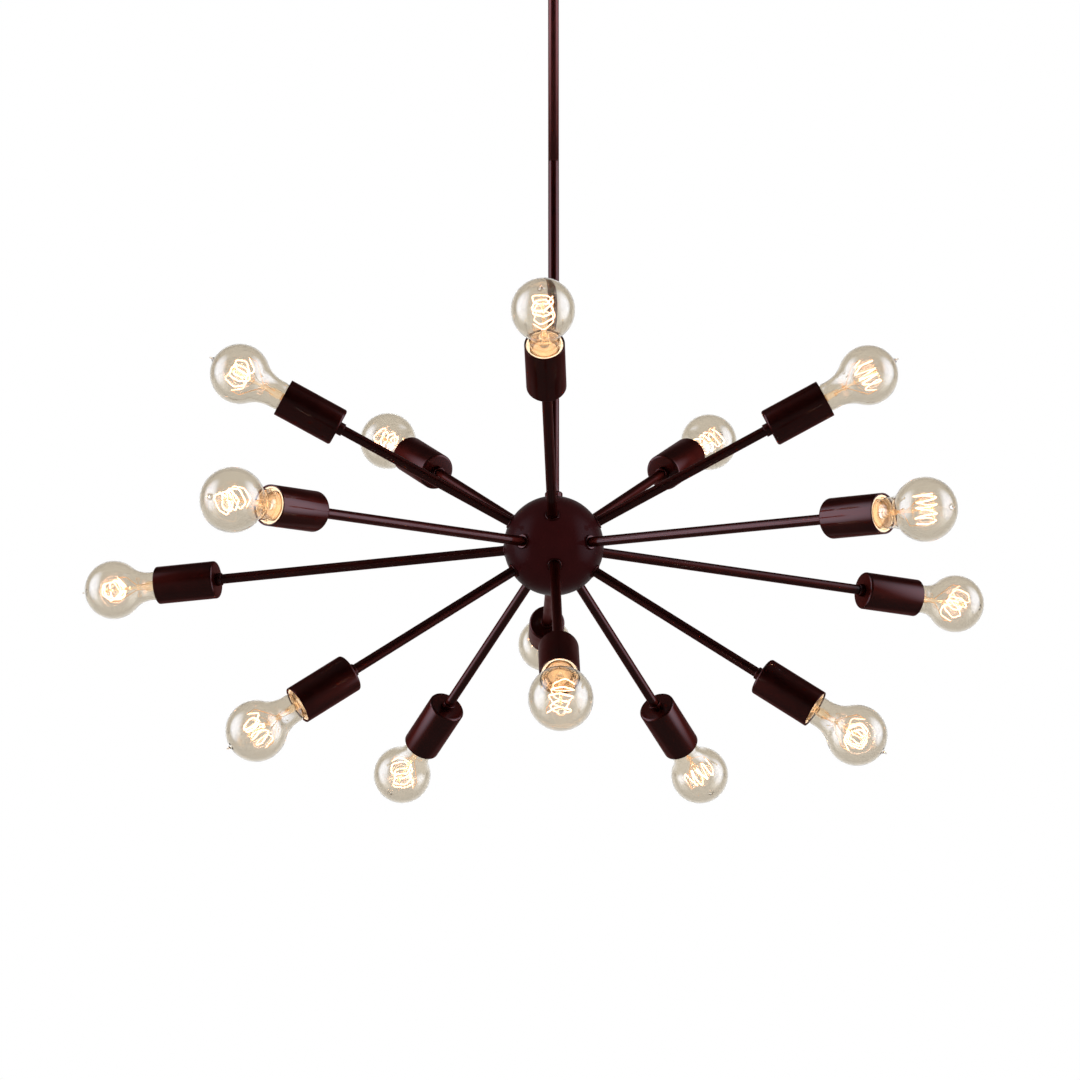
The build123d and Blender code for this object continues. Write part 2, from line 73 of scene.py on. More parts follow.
# %% [markdown]
# ## Where the lamps are
# Every bulb turns on a screw joint whose axis is the axis of its arm. The joint gives a point and a
# direction, which is all that a lamp needs: Z runs out along the arm, and X is level. The heights below
# count along that axis, in millimetres, from the back of the cup or from the middle of the bulb's round part.

# %% Read the lamps from the joints
SCREW_JOINT = "bulb_screw_"
JOINT_FROM_CUP_BACK = 34.5
CUP_LENGTH = 63.0
BULB_CENTRE_FROM_RIM = 48.4
BULB_CENTRE = CUP_LENGTH + BULB_CENTRE_FROM_RIM
HUB_RADIUS = 50.0
UP = Vector((0, 0, 1))

hub_centre = Vector((0, 0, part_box("hub")[0].z + HUB_RADIUS * MM))
lamps = {}
for joint in frame["joints"]:
    if joint["name"].startswith(SCREW_JOINT):
        lamp = joint["name"].removeprefix(SCREW_JOINT)
        outward = Vector(joint["axis"]).normalized()
        cup_back = Vector(joint["pos_m"]) - outward * JOINT_FROM_CUP_BACK * MM
        lamps[lamp] = {
            "outward": outward,
            "level": UP.cross(outward).normalized(),
            "cup_back": cup_back,
            "reach": round((cup_back - hub_centre).length / MM, 1),
        }
print(len(lamps), "lamps round a hub at", [round(v, 4) for v in hub_centre])

# %% [markdown]
# ## The camera
# The photograph was taken from a little below, with a long lens: the front bulbs are only a little larger
# than those at the back. The camera looks up at the hub, which sits slightly right of and below the middle
# of the square picture.

# %% Set up the camera
VIEW_DISTANCE = 3.884
VIEW_RISE = radians(10.66)
HUB_RIGHT_OF_MIDDLE = 13.79 * MM
HUB_BELOW_MIDDLE = 5.71 * MM
SENSOR = 36.0
LENS = 129.47
SEES_TO = 2000.0


def put(name, data):
    """A new object in the scene."""
    thing = bpy.data.objects.new(name, data)
    scene.collection.objects.link(thing)
    return thing


looking = Vector((0, cos(VIEW_RISE), sin(VIEW_RISE)))
camera_up = Vector((0, -sin(VIEW_RISE), cos(VIEW_RISE)))
camera = put("camera", bpy.data.cameras.new("camera"))
camera.location = hub_centre - looking * VIEW_DISTANCE + camera_up * HUB_BELOW_MIDDLE
camera.location.x -= HUB_RIGHT_OF_MIDDLE
camera.rotation_euler = (pi / 2 + VIEW_RISE, 0, 0)
camera.data.sensor_fit = "HORIZONTAL"
camera.data.sensor_width = SENSOR
camera.data.lens = LENS
camera.data.clip_end = SEES_TO
scene.camera = camera
print("camera at", [round(v, 3) for v in camera.location], "with a", LENS, "mm lens")

# %% [markdown]
# ## Helpers for nodes
# Shaders and Geometry Nodes are both trees of nodes, so one function adds a node to either kind, sets its
# options and feeds its inputs. Colours are written as the hex values that a screen shows and turned to
# linear light, which is what a shader works in.

# %% Node and colour helpers


def feed(node, inputs):
    """Gives each input a value, or a link from a socket or from a node's first output."""
    for key, value in inputs.items():
        if isinstance(value, bpy.types.Node):
            value = value.outputs[0]
        if isinstance(value, bpy.types.NodeSocket):
            node.id_data.links.new(value, node.inputs[key])
        else:
            node.inputs[key].default_value = value


def add(tree, kind, inputs=None, **settings):
    """Adds a node, sets its options and feeds its inputs."""
    node = tree.nodes.new(kind)
    for key, value in settings.items():
        setattr(node, key, value)
    feed(node, inputs or {})
    return node


def linear(code):
    """An sRGB hex colour as linear RGBA."""
    shown = [int(code[index : index + 2], 16) / 255 for index in (1, 3, 5)]
    light = [v / 12.92 if v <= 0.04045 else ((v + 0.055) / 1.055) ** 2.4 for v in shown]
    return (*light, 1.0)


def new_material(name, **values):
    """A material with one Principled shader. Returns it, its tree and the shader."""
    material = bpy.data.materials.new(name)
    material.use_nodes = True
    tree = material.node_tree
    tree.nodes.clear()
    shader = add(tree, "ShaderNodeBsdfPrincipled")
    feed(shader, {label.replace("_", " "): value for label, value in values.items()})
    add(tree, "ShaderNodeOutputMaterial", {"Surface": shader})
    return material, tree, shader


print("a middle grey of #808080 is", round(linear("#808080")[0], 3), "in linear light")

# %% [markdown]
# ## Helpers for surfaces
# No real surface is even: colour and roughness drift over patches, there is a fine grain, and a clear
# layer loses its gloss where the surface turns away. Each scale is worked out from a size in millimetres.

# %% Surface helpers
RAMP = ("Value", "From Min", "From Max", "To Min", "To Max")
DRIFT_SPAN = (0.3, 0.7)
GLOSS_FADES = (0.3, 0.65)


def drift(tree, shader, size_mm, colours, roughness):
    """Lets colour and roughness drift together over patches of one size. Returns the coordinates."""
    where = add(tree, "ShaderNodeTexCoord").outputs["Object"]
    cloud = {"Vector": where, "Scale": 1 / (size_mm * MM), "Detail": 3.0, "Roughness": 0.55}
    patches = add(tree, "ShaderNodeTexNoise", cloud)
    colour = add(tree, "ShaderNodeValToRGB", {"Fac": patches})
    for stop, share, code in zip(colour.color_ramp.elements, DRIFT_SPAN, colours):
        stop.position = share
        stop.color = linear(code)
    gloss = add(tree, "ShaderNodeMapRange", dict(zip(RAMP, (patches, *DRIFT_SPAN, *roughness))))
    feed(shader, {"Base Color": colour, "Roughness": gloss})
    return where


def fade_gloss(tree, shader, gloss):
    """Takes the gloss of the clear layer away where the surface turns from the viewer."""
    away = add(tree, "ShaderNodeLayerWeight", {"Blend": 0.5}).outputs["Facing"]
    layer = add(tree, "ShaderNodeMapRange", dict(zip(RAMP, (away, *GLOSS_FADES, gloss, 0.0))))
    feed(shader, {"Coat Weight": layer})


def roughen(tree, shader, where, size_mm, depth_mm, strength):
    """Adds a fine bump whose grains have a real size and depth."""
    grains = add(tree, "ShaderNodeTexNoise", {"Vector": where, "Scale": 1 / (size_mm * MM), "Detail": 2.0})
    bump = add(tree, "ShaderNodeBump", {"Strength": strength, "Distance": depth_mm * MM, "Height": grains})
    feed(shader, {"Normal": bump})


print("colours drift between", DRIFT_SPAN, "of a noise")

# %% [markdown]
# ## Oil-rubbed bronze
# The metal is turned and drawn steel under a dark red-brown bronze lacquer. Such a finish is nearly black
# until a lamp catches it: the lacquer gives a narrow pale streak along each tube, and the brown shows
# beside it. The oil in the finish dulls the gloss where the surface turns away, so edges stay dark. Colour
# and roughness drift over rubbed patches of about 14 mm, and orange-peel from spraying, 0.9 mm across,
# breaks up the streaks. The upper length of stem has painted light: a copy of the same bronze, painted
# lighter and redder. The ball is satin: a matt brown with hardly any lacquer.

# %% Make the bronze
BRONZE_PATCH = 14.0
BRONZE_ROUGHNESS = (0.4, 0.5)
BRONZE_EDGE = "#cbbcbc"
SATIN_SHEEN = 0.04
LACQUER_IOR = 1.5
LACQUER_ROUGHNESS = 0.07
ORANGE_PEEL = 0.9
PEEL_DEPTH = 0.03
PEEL_STRENGTH = 0.04


def make_bronze(name, colours, metal, gloss):
    """Dark red-brown bronze with rubbed patches, under a lacquer with a trace of orange-peel."""
    material, tree, shader = new_material(
        name,
        Metallic=metal,
        Specular_IOR_Level=SATIN_SHEEN,
        Specular_Tint=linear(BRONZE_EDGE),
        Coat_IOR=LACQUER_IOR,
        Coat_Roughness=LACQUER_ROUGHNESS,
    )
    where = drift(tree, shader, BRONZE_PATCH, colours, BRONZE_ROUGHNESS)
    roughen(tree, shader, where, ORANGE_PEEL, PEEL_DEPTH, PEEL_STRENGTH)
    fade_gloss(tree, shader, gloss)
    return material


bronze = make_bronze("oil_rubbed_bronze", ("#45150f", "#4c1812"), metal=1.0, gloss=0.6)
# Painted light: a lighter, redder copy of the bronze for the upper length of stem.
bronze_painted_lighter = make_bronze("oil_rubbed_bronze_second_batch", ("#632822", "#6b2d26"), metal=1.0, gloss=0.6)
bronze_satin = make_bronze("satin_bronze_ball", ("#300e0f", "#340f10"), metal=0.0, gloss=0.06)
print("made", bronze.name, bronze_painted_lighter.name, bronze_satin.name)

# %% [markdown]
# ## Glass
# The envelopes are blown soda-lime glass, faintly amber, about 0.5 mm thick. Light passes two walls of two
# sides each, so the tint of one side is pale. With the index of real glass the edges would mirror a bright
# studio until they turn white, so the index is lower, and a clear layer with a high one gives back the
# mirror images on the face and fades towards the edge. A slow ripple of 20 mm bends what is seen through
# it. The stem inside is drawn lead glass, clear and smooth. It has a little painted glow of its own, which
# stands for the filament's light that it carries.

# %% Make the glass
GLASS_IOR = 1.35
GLASS_FACE_IOR = 1.7
GLASS_RIPPLE = 20.0
RIPPLE_DEPTH = 0.5
GLASS_PAINTED_GLOW = "#ffdcb4"


def make_glass(name, tint, ripple, gloss, glow):
    """Clear glass with a faint tint, a slow ripple and a painted warm glow for the light that it carries."""
    material, tree, shader = new_material(
        name,
        Base_Color=linear(tint),
        Roughness=0.0,
        IOR=GLASS_IOR,
        Transmission_Weight=1.0,
        Coat_IOR=GLASS_FACE_IOR,
        Coat_Roughness=0.0,
        Emission_Color=linear(GLASS_PAINTED_GLOW),
        Emission_Strength=glow,
    )
    material.cycles.emission_sampling = "NONE"
    where = add(tree, "ShaderNodeTexCoord").outputs["Object"]
    roughen(tree, shader, where, GLASS_RIPPLE, RIPPLE_DEPTH, ripple)
    fade_gloss(tree, shader, gloss)
    return material


blown_glass = make_glass("blown_soda_lime_glass", "#e9e2d6", ripple=0.01, gloss=1.0, glow=0.0)
# Painted light: the glass stem glows a little of its own.
stem_glass = make_glass("drawn_lead_glass", "#fff1dc", ripple=0.0, gloss=0.0, glow=0.12)
print("made", blown_glass.name, "and", stem_glass.name)

# %% [markdown]
# ## Hot wire
# A lit filament is white-hot tungsten, so bright that lens and glass spread some of its light into an
# orange fringe. Two thin skins of half-clear light round the wire stand for that fringe.

# %% Make the hot wire


def make_hot(name, colour, strength, opacity):
    """A surface that gives light of one colour, solid or half clear."""
    material, *_ = new_material(
        name,
        Base_Color=linear(colour),
        Roughness=0.6,
        Emission_Color=linear(colour),
        Emission_Strength=strength,
        Alpha=opacity,
    )
    material.cycles.emission_sampling = "NONE"
    return material


white_hot = make_hot("white_hot_tungsten", "#fff8f2", strength=1.4, opacity=1.0)
inner_fringe = make_hot("inner_glow_fringe", "#ffd8c0", strength=0.9, opacity=0.25)
outer_fringe = make_hot("outer_glow_fringe", "#ffc4a4", strength=0.8, opacity=0.13)
print("made", white_hot.name, inner_fringe.name, outer_fringe.name)

# %% [markdown]
# ## The other finishes
# The wires in the bulbs are nickel, with a painted warm glow of their own for the filament's light on them.
# The screw caps and the shells they turn in are thin drawn brass, tarnished in patches a few millimetres
# across. Beige cement holds the glass in the cap. The lampholders are a cream moulding with a slight gloss.
# The strap and the pin are zinc-plated steel, whose crystals show as spangles of about 4 mm. The end
# contacts are dull solder, and black glass insulates them.

# %% Make the other finishes


def make_plain(name, patch_mm, colours, roughness, grain_mm, depth_mm=0.02, bump=0.1, **values):
    """A finish whose colour and roughness drift over one size of patch, with a finer grain."""
    material, tree, shader = new_material(name, **values)
    where = drift(tree, shader, patch_mm, colours, roughness)
    roughen(tree, shader, where, grain_mm, depth_mm, bump)
    return material


# Painted light: the nickel wires glow warm of their own, for the filament's light on them.
wire_painted_glow = {"Emission_Color": linear("#ffcd9a"), "Emission_Strength": 0.6}
nickel_tones = ("#b48a58", "#d8b084")
nickel = make_plain("warm_nickel_wire", 2.0, nickel_tones, (0.25, 0.4), 0.5, Metallic=1.0, **wire_painted_glow)
brass = make_plain("drawn_brass", 5.0, ("#d4b692", "#eed6b4"), (0.32, 0.46), 0.6, bump=0.08, Metallic=0.8)
cement = make_plain("basing_cement", 3.0, ("#e2cdb0", "#eedcc4"), (0.6, 0.8), 0.8, 0.1, 0.2)
moulding = make_plain("cream_moulding", 9.0, ("#e4d3ba", "#eddfc9"), (0.3, 0.42), 0.5, bump=0.08)
zinc = make_plain("zinc_plated_steel", 4.0, ("#9a9a9c", "#c4c4c2"), (0.25, 0.5), 0.7, Metallic=1.0)
solder = make_plain("dull_solder", 1.5, ("#8b8b88", "#b4b3ae"), (0.35, 0.6), 0.4, 0.05, 0.2, Metallic=1.0)
black_glass = make_plain("black_glass", 6.0, ("#0d0a0e", "#1b151b"), (0.08, 0.16), 1.0, bump=0.05)
print("made", len(bpy.data.materials), "materials so far")

# %% [markdown]
# ## Turned shapes
# Almost everything here is round about an axis. A lathe in code takes an outline of radius and height and
# sweeps it round Z. Corners are real arcs, because a sharp corner never catches the light as metal does.

# %% The lathe
TURNED_SHARP = 40


def arc(centre, radius, start, end, count=6):
    """Points on an arc between two angles in degrees, as radius and height."""
    angles = [radians(start + (end - start) * step / count) for step in range(count + 1)]
    return [(centre[0] + radius * cos(angle), centre[1] + radius * sin(angle)) for angle in angles]


def settle(shape, name, sharp):
    """Makes a mesh of a bmesh, smooth apart from edges sharper than an angle in degrees."""
    mesh = bpy.data.meshes.new(name)
    shape.to_mesh(mesh)
    shape.free()
    mesh.shade_smooth()
    mesh.set_sharp_from_angle(angle=radians(sharp))
    return mesh


def turned(name, outline, steps=64, closed=False):
    """A mesh of revolution about Z from radius and height in millimetres. A radius of 0 is a pole."""
    shape = bmesh.new()
    rings = []
    for radius, height in outline:
        count = steps if radius > 0 else 1
        spots = [(radius * cos(tau * k / steps), radius * sin(tau * k / steps), height) for k in range(count)]
        rings.append([shape.verts.new(Vector(spot) * MM) for spot in spots])
    if closed:
        rings.append(rings[0])
    for low, high in zip(rings, rings[1:]):
        for k in range(steps):
            ends = ((low, k), (low, k + 1), (high, k + 1), (high, k))
            corners = list(dict.fromkeys(ring[step % len(ring)] for ring, step in ends))
            if len(corners) > 2:
                shape.faces.new(corners)
    bmesh.ops.recalc_face_normals(shape, faces=shape.faces)
    return settle(shape, name, TURNED_SHARP)


def add_piece(name, mesh, body, finish, slot, *nodes):
    """Puts a finished mesh in the scene, on its body, in place of its CAD nodes."""
    piece = put(name, mesh)
    if finish:
        mesh.materials.clear()
        mesh.materials.append(finish)
    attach(piece, body)
    if nodes:
        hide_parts(*nodes)
    return piece


print("a quarter circle takes", len(arc((0, 0), 1, 0, 90)), "points")

# %% [markdown]
# ## A tree that puts a piece on every arm
# Cups, lampholders and arms repeat round the hub, so Geometry Nodes place them. The base mesh is one point
# for each lamp, with two directions kept on it: outward along the arm, and level across it. The tree turns
# the piece's Z outward and its X level, puts a copy on each point, and makes the copies real.

# %% Build the tree for the arms


def new_tree(name, **inputs):
    """A Geometry Nodes tree with named inputs. Returns it and the sockets of its input node."""
    tree = bpy.data.node_groups.new(name, "GeometryNodeTree")
    tree.interface.new_socket("Geometry", in_out="OUTPUT", socket_type="NodeSocketGeometry")
    for label, kind in {"Geometry": "Geometry", **inputs}.items():
        tree.interface.new_socket(label, in_out="INPUT", socket_type="NodeSocket" + kind)
    return tree, add(tree, "NodeGroupInput").outputs


def finish_tree(tree, geometry, material):
    """Ends a tree: faces shade smoothly, copies are made real, and the result gets its material."""
    smooth = add(tree, "GeometryNodeSetShadeSmooth", {"Geometry": geometry})
    real = add(tree, "GeometryNodeRealizeInstances", {"Geometry": smooth})
    painted = add(tree, "GeometryNodeSetMaterial", {"Geometry": real, "Material": material})
    add(tree, "NodeGroupOutput", {"Geometry": painted})
    return tree


def grow(name, tree, base, sizes, **values):
    """Runs a tree, with sizes in millimetres, and returns the result as a plain mesh."""
    maker = put(name, base or bpy.data.meshes.new(name + "_base"))
    modifier = maker.modifiers.new(name, "NODES")
    modifier.node_group = tree
    sockets = {item.name: item.identifier for item in tree.interface.items_tree if item.in_out == "INPUT"}
    values.update({label: size * MM for label, size in sizes.items()})
    for label, value in values.items():
        modifier[sockets[label]] = value
    graph = bpy.context.evaluated_depsgraph_get()
    mesh = bpy.data.meshes.new_from_object(maker.evaluated_get(graph))
    bpy.data.objects.remove(maker)
    mesh.name = name
    return mesh


tree, given = new_tree("on_every_arm", Piece="Object", Finish="Material")
outward, level = (
    add(tree, "GeometryNodeInputNamedAttribute", {"Name": label}, data_type="FLOAT_VECTOR")
    for label in ("outward", "level")
)
align = "FunctionNodeAlignRotationToVector"
along = add(tree, align, {"Vector": outward}, axis="Z")
squared = add(tree, align, {"Rotation": along, "Vector": level}, axis="X", pivot_axis="Z")
piece = add(tree, "GeometryNodeObjectInfo", {"Object": given["Piece"]}).outputs["Geometry"]
spread = {"Points": given["Geometry"], "Instance": piece, "Rotation": squared}
copies = add(tree, "GeometryNodeInstanceOnPoints", spread)
arm_tree = finish_tree(tree, copies, given["Finish"])


def on_arms(name, shape, finish, chosen=None, from_hub=False):
    """Copies of a turned mesh on the chosen arms, as one mesh."""
    spots = chosen or list(lamps.values())
    base = bpy.data.meshes.new(name + "_points")
    base.from_pydata([hub_centre if from_hub else spot["cup_back"] for spot in spots], [], [])
    for label in ("outward", "level"):
        kept = base.attributes.new(label, "FLOAT_VECTOR", "POINT")
        for point, spot in zip(kept.data, spots):
            point.vector = spot[label]
    pattern = bpy.data.objects.new(name + "_pattern", shape)
    mesh = grow(name, arm_tree, base, {}, Piece=pattern, Finish=finish)
    bpy.data.objects.remove(pattern)
    return mesh


print("arm tree has", len(arm_tree.nodes), "nodes")

# %% [markdown]
# ## The cups
# Each cup is a short spun tube, rounded at the back and open at the mouth. The back has a hole for the
# threaded end of the arm, and the rim is eased so that it shows as a thin bright line.

# %% Make the cups
CUP_RADIUS = 19.2
CUP_WALL = 1.2
CUP_BACK = 2.0
CUP_ROUNDING = 2.5
CUP_RIM_ROUNDING = 0.5
ARM_HOLE = 5.05

cup_inside = CUP_RADIUS - CUP_WALL
inner_rounding = CUP_ROUNDING - CUP_WALL
rim_corner = (CUP_RADIUS - CUP_RIM_ROUNDING, CUP_LENGTH - CUP_RIM_ROUNDING)
cup_outline = [
    (ARM_HOLE, 0.0),
    *arc((CUP_RADIUS - CUP_ROUNDING, CUP_ROUNDING), CUP_ROUNDING, -90, 0, 8),
    *arc(rim_corner, CUP_RIM_ROUNDING, 0, 90, 4),
    (cup_inside, CUP_LENGTH),
    *arc((cup_inside - inner_rounding, CUP_BACK + inner_rounding), inner_rounding, 0, -90, 5),
    (ARM_HOLE, CUP_BACK),
]
cups = on_arms("lamp_cups_turned", turned("cup", cup_outline, steps=96, closed=True), bronze)
add_piece("lamp_cups_turned", cups, "fixture", None, "bronze", "lamp_cups")
print("cups:", len(cups.polygons), "faces")

# %% [markdown]
# ## The arms
# The arms are straight drawn tube, as long as their tier needs. At the hub each has a thin collar that
# sits in the ball's spot-face, and behind the cup a longer one that the cup is screwed against.

# %% Make the arms
ARM_RADIUS = 5.0
ARM_BORE = 3.5
ARM_INNER_END = 43.5
ARM_SEAT = 49.107
HUB_COLLAR_RADIUS = 7.0
HUB_COLLAR_LENGTH = 1.6
CUP_COLLAR_RADIUS = 6.5
CUP_COLLAR_LENGTH = 5.5
ARM_PAST_CUP_BACK = 14.0
COLLAR_EDGE = 0.5


def arm_outline(reach):
    """Tube, collar at the hub, tube, collar at the cup, threaded end."""
    hub_end = ARM_SEAT + HUB_COLLAR_LENGTH
    cup_start = reach - CUP_COLLAR_LENGTH
    arm_end = reach + ARM_PAST_CUP_BACK
    return [
        (ARM_BORE, ARM_INNER_END),
        (ARM_RADIUS, ARM_INNER_END),
        (ARM_RADIUS, ARM_SEAT),
        (HUB_COLLAR_RADIUS, ARM_SEAT),
        *arc((HUB_COLLAR_RADIUS - COLLAR_EDGE, hub_end - COLLAR_EDGE), COLLAR_EDGE, 0, 90, 4),
        (ARM_RADIUS, hub_end),
        (ARM_RADIUS, cup_start),
        *arc((CUP_COLLAR_RADIUS - COLLAR_EDGE, cup_start + COLLAR_EDGE), COLLAR_EDGE, -90, 0, 4),
        (CUP_COLLAR_RADIUS, reach),
        (ARM_RADIUS, reach),
        (ARM_RADIUS, arm_end),
        (ARM_BORE, arm_end),
    ]


def joined(name, meshes):
    """Several meshes in one, with the materials of the first."""
    shape = bmesh.new()
    for mesh in meshes:
        shape.from_mesh(mesh)
    whole = bpy.data.meshes.new(name)
    shape.to_mesh(whole)
    shape.free()
    for material in meshes[0].materials:
        whole.materials.append(material)
    return whole


tier_meshes = []
for reach in sorted({lamp["reach"] for lamp in lamps.values()}):
    tier = [lamp for lamp in lamps.values() if lamp["reach"] == reach]
    shape = turned("arm", arm_outline(reach), steps=48, closed=True)
    tier_meshes.append(on_arms("arms_of_one_tier", shape, bronze, tier, from_hub=True))
arms = joined("arms_turned", tier_meshes)
add_piece("arms_turned", arms, "fixture", None, "bronze", "arms")
print("arms:", len(arms.polygons), "faces")

# %% [markdown]
# ## The lampholders
# A cream moulding stands in each cup on the threaded end of the arm. Its rim nearly fills the mouth, warm
# in the light of the bulb. Inside the rim it is counterbored, which leaves a dark gap round the bulb's neck.

# %% Make the lampholders
HOLDER_RADIUS = 17.75
HOLDER_BORE = 13.95
HOLDER_MOUTH = 61.8
HOLDER_MOUTH_RADIUS = 15.75
HOLDER_MOUTH_DEPTH = 5.0
HOLDER_FLOOR = 30.9
HOLDER_FOOT = 9.0
HOLDER_FOOT_TOP = 17.0
HOLDER_EDGE = 1.0
MOUTH_EDGE = 0.3
ARM_THREAD_TOP = 14.05

edge_inside = HOLDER_RADIUS - HOLDER_EDGE
mouth_corner = (HOLDER_MOUTH_RADIUS + MOUTH_EDGE, HOLDER_MOUTH - MOUTH_EDGE)
mouth_floor = HOLDER_MOUTH - HOLDER_MOUTH_DEPTH
holder_outline = [
    (0, ARM_THREAD_TOP),
    (ARM_HOLE, ARM_THREAD_TOP),
    (ARM_HOLE, CUP_BACK),
    (HOLDER_FOOT, CUP_BACK),
    (HOLDER_FOOT, HOLDER_FOOT_TOP),
    (edge_inside, HOLDER_FOOT_TOP),
    (HOLDER_RADIUS, HOLDER_FOOT_TOP + HOLDER_EDGE),
    *arc((edge_inside, HOLDER_MOUTH - HOLDER_EDGE), HOLDER_EDGE, 0, 90, 4),
    *arc(mouth_corner, MOUTH_EDGE, 90, 180, 3),
    (HOLDER_MOUTH_RADIUS, mouth_floor),
    (HOLDER_BORE, mouth_floor),
    (HOLDER_BORE, HOLDER_FLOOR),
    (0, HOLDER_FLOOR),
]
holders = on_arms("lampholders_moulded", turned("lampholder", holder_outline), moulding)
add_piece("lampholders_moulded", holders, "fixture", None, "lampholder", "lampholder_bodies")
print("lampholders:", len(holders.polygons), "faces")

# %% [markdown]
# ## Rolled threads
# The screw caps and the shells that they turn in have a round thread, rolled into thin brass: seven turns
# to the inch, right-handed. A tree bends a flat grid into such a tube: one way across the grid runs round
# the axis, and the other runs up the outside and down the inside. The radius follows a cosine that climbs
# one pitch in each turn and fades out where the tube is plain. Cap and shell follow the same cosine,
# counted from the back of the cup, so they stay 0.4 mm apart at every step of the screw. The sums are a
# list: each line names a result, what is done, and what it is done to.

# %% Build the thread tree
THREAD_PITCH = 25.4 / 7
THREAD_DEPTH = 0.7
THREAD_FADE = 2.0
THREAD_SIZES = ("Radius", "Wall", "Low", "High", "Thread Low", "Thread High", "Depth", "Pitch", "Fade")
THREAD_SHARP = 50
WELD_WITHIN = 0.001 * MM
AROUND = 72
ROWS = 44

tree, given = new_tree("rolled_thread", **dict.fromkeys(THREAD_SIZES, "Float"), Finish="Material")
counts = {"Vertices X": AROUND + 1, "Vertices Y": 2 * ROWS + 1}
grid = add(tree, "GeometryNodeMeshGrid", {"Size X": 1.0, "Size Y": 1.0, **counts})
spot = add(tree, "ShaderNodeSeparateXYZ", {0: add(tree, "GeometryNodeInputPosition")}).outputs
known = {"x": spot["X"], "y": spot["Y"], **{label: given[label] for label in THREAD_SIZES}}
for result, operation, *values in (
    ("share", "ADD", "x", 0.5),
    ("across", "MULTIPLY_ADD", "y", 2.0 * ROWS, float(ROWS)),
    ("row", "ROUND", "across"),
    ("past top", "GREATER_THAN", "row", ROWS - 0.5),
    ("before end", "LESS_THAN", "row", 2 * ROWS - 0.5),
    ("inside", "MULTIPLY", "past top", "before end"),
    ("down", "SUBTRACT", 2.0 * ROWS - 1.0, "row"),
    ("nearer", "MINIMUM", "row", "down"),
    ("step", "MAXIMUM", "nearer", 0.0),
    ("climb", "DIVIDE", "step", ROWS - 1.0),
    ("length", "SUBTRACT", "High", "Low"),
    ("height", "MULTIPLY_ADD", "climb", "length", "Low"),
    ("turns", "DIVIDE", "height", "Pitch"),
    ("phase", "SUBTRACT", "turns", "share"),
    ("phase angle", "MULTIPLY", "phase", tau),
    ("cosine", "COSINE", "phase angle"),
    ("wave", "MULTIPLY_ADD", "cosine", -0.5, 0.5),
    ("above start", "SUBTRACT", "height", "Thread Low"),
    ("rise", "DIVIDE", "above start", "Fade"),
    ("below end", "SUBTRACT", "Thread High", "height"),
    ("fall", "DIVIDE", "below end", "Fade"),
    ("least", "MINIMUM", "rise", "fall"),
    ("up to one", "MINIMUM", "least", 1.0),
    ("fade", "MAXIMUM", "up to one", 0.0),
    ("faded wave", "MULTIPLY", "wave", "fade"),
    ("groove", "MULTIPLY", "faded wave", "Depth"),
    ("wall", "MULTIPLY", "inside", "Wall"),
    ("outside", "SUBTRACT", "Radius", "groove"),
    ("radius", "SUBTRACT", "outside", "wall"),
    ("angle", "MULTIPLY", "share", tau),
    ("across x", "COSINE", "angle"),
    ("across y", "SINE", "angle"),
    ("X", "MULTIPLY", "radius", "across x"),
    ("Y", "MULTIPLY", "radius", "across y"),
):
    inputs = {slot: known.get(value, value) for slot, value in enumerate(values)}
    known[result] = add(tree, "ShaderNodeMath", inputs, operation=operation)
place = add(tree, "ShaderNodeCombineXYZ", {"X": known["X"], "Y": known["Y"], "Z": known["height"]})
rolled = add(tree, "GeometryNodeSetPosition", {"Geometry": grid, "Position": place})
welded = add(tree, "GeometryNodeMergeByDistance", {"Geometry": rolled, "Distance": WELD_WITHIN})
thread_tree = finish_tree(tree, welded, given["Finish"])


def threaded(name, *sizes):
    """A threaded brass tube along Z, with its faces turned outwards."""
    sizes = dict(zip(THREAD_SIZES, (*sizes, THREAD_DEPTH, THREAD_PITCH, THREAD_FADE)))
    shape = bmesh.new()
    shape.from_mesh(grow(name, thread_tree, None, sizes, Finish=brass))
    bmesh.ops.recalc_face_normals(shape, faces=shape.faces)
    return settle(shape, name, THREAD_SHARP)


SHELL_RADIUS = 13.9
SHELL_WALL = 0.4
SHELL_TOP = 55.23
SHELL_PLAIN_FOOT = 4.0
thread_start = HOLDER_FLOOR + SHELL_PLAIN_FOOT
shell_shape = threaded("shell", SHELL_RADIUS, SHELL_WALL, HOLDER_FLOOR, SHELL_TOP, thread_start, SHELL_TOP)
shells = on_arms("lampholder_shells_rolled", shell_shape, brass)
add_piece("lampholder_shells_rolled", shells, "fixture", None, "brass", "lampholder_shells")
print("thread tree has", len(thread_tree.nodes), "nodes; shells have", len(shells.polygons), "faces")

# %% [markdown]
# ## The envelope of a bulb
# A bulb is blown in a mould: a ball that runs into a neck through a hollow curve, tangent to both. At the
# crown is the tip where the air was pumped out and the glass melted shut. The wall has an outside and an
# inside, because glass with only one side bends light as a solid lens would.

# %% Make the envelope
BULB_RADIUS = 30.0
NECK_RADIUS = 14.5
NECK_SWEEP = 30.0
GLASS_WALL = 0.5
TIP_TOP = 34.5
TIP_BASE = 3.2
TIP_END = 0.8
TIP_SWELL = 2.4
TIP_SHARES = (0.2, 0.4, 0.6, 0.8, 0.93)
CAP_TOP = -51.0
CAP_BOTTOM = -72.5
CAP_RADIUS = 13.1
CAP_WALL = 0.4
NECK_CLEARANCE = 0.05
NECK_FOOT = -55.0
NECK_TAPER = 5.0


def pear(radius, neck, sweep, top_angle):
    """The outline of the round part and of the hollow curve to the neck."""
    across = neck + sweep
    drop = sqrt((radius + sweep) ** 2 - across**2)
    meet = -acos(across / (radius + sweep))
    ball = arc((0, 0), radius, top_angle, degrees(meet), 44)
    hollow = arc((across, -drop), sweep, 180 + degrees(meet), 180, 16)
    return ball + hollow[1:]


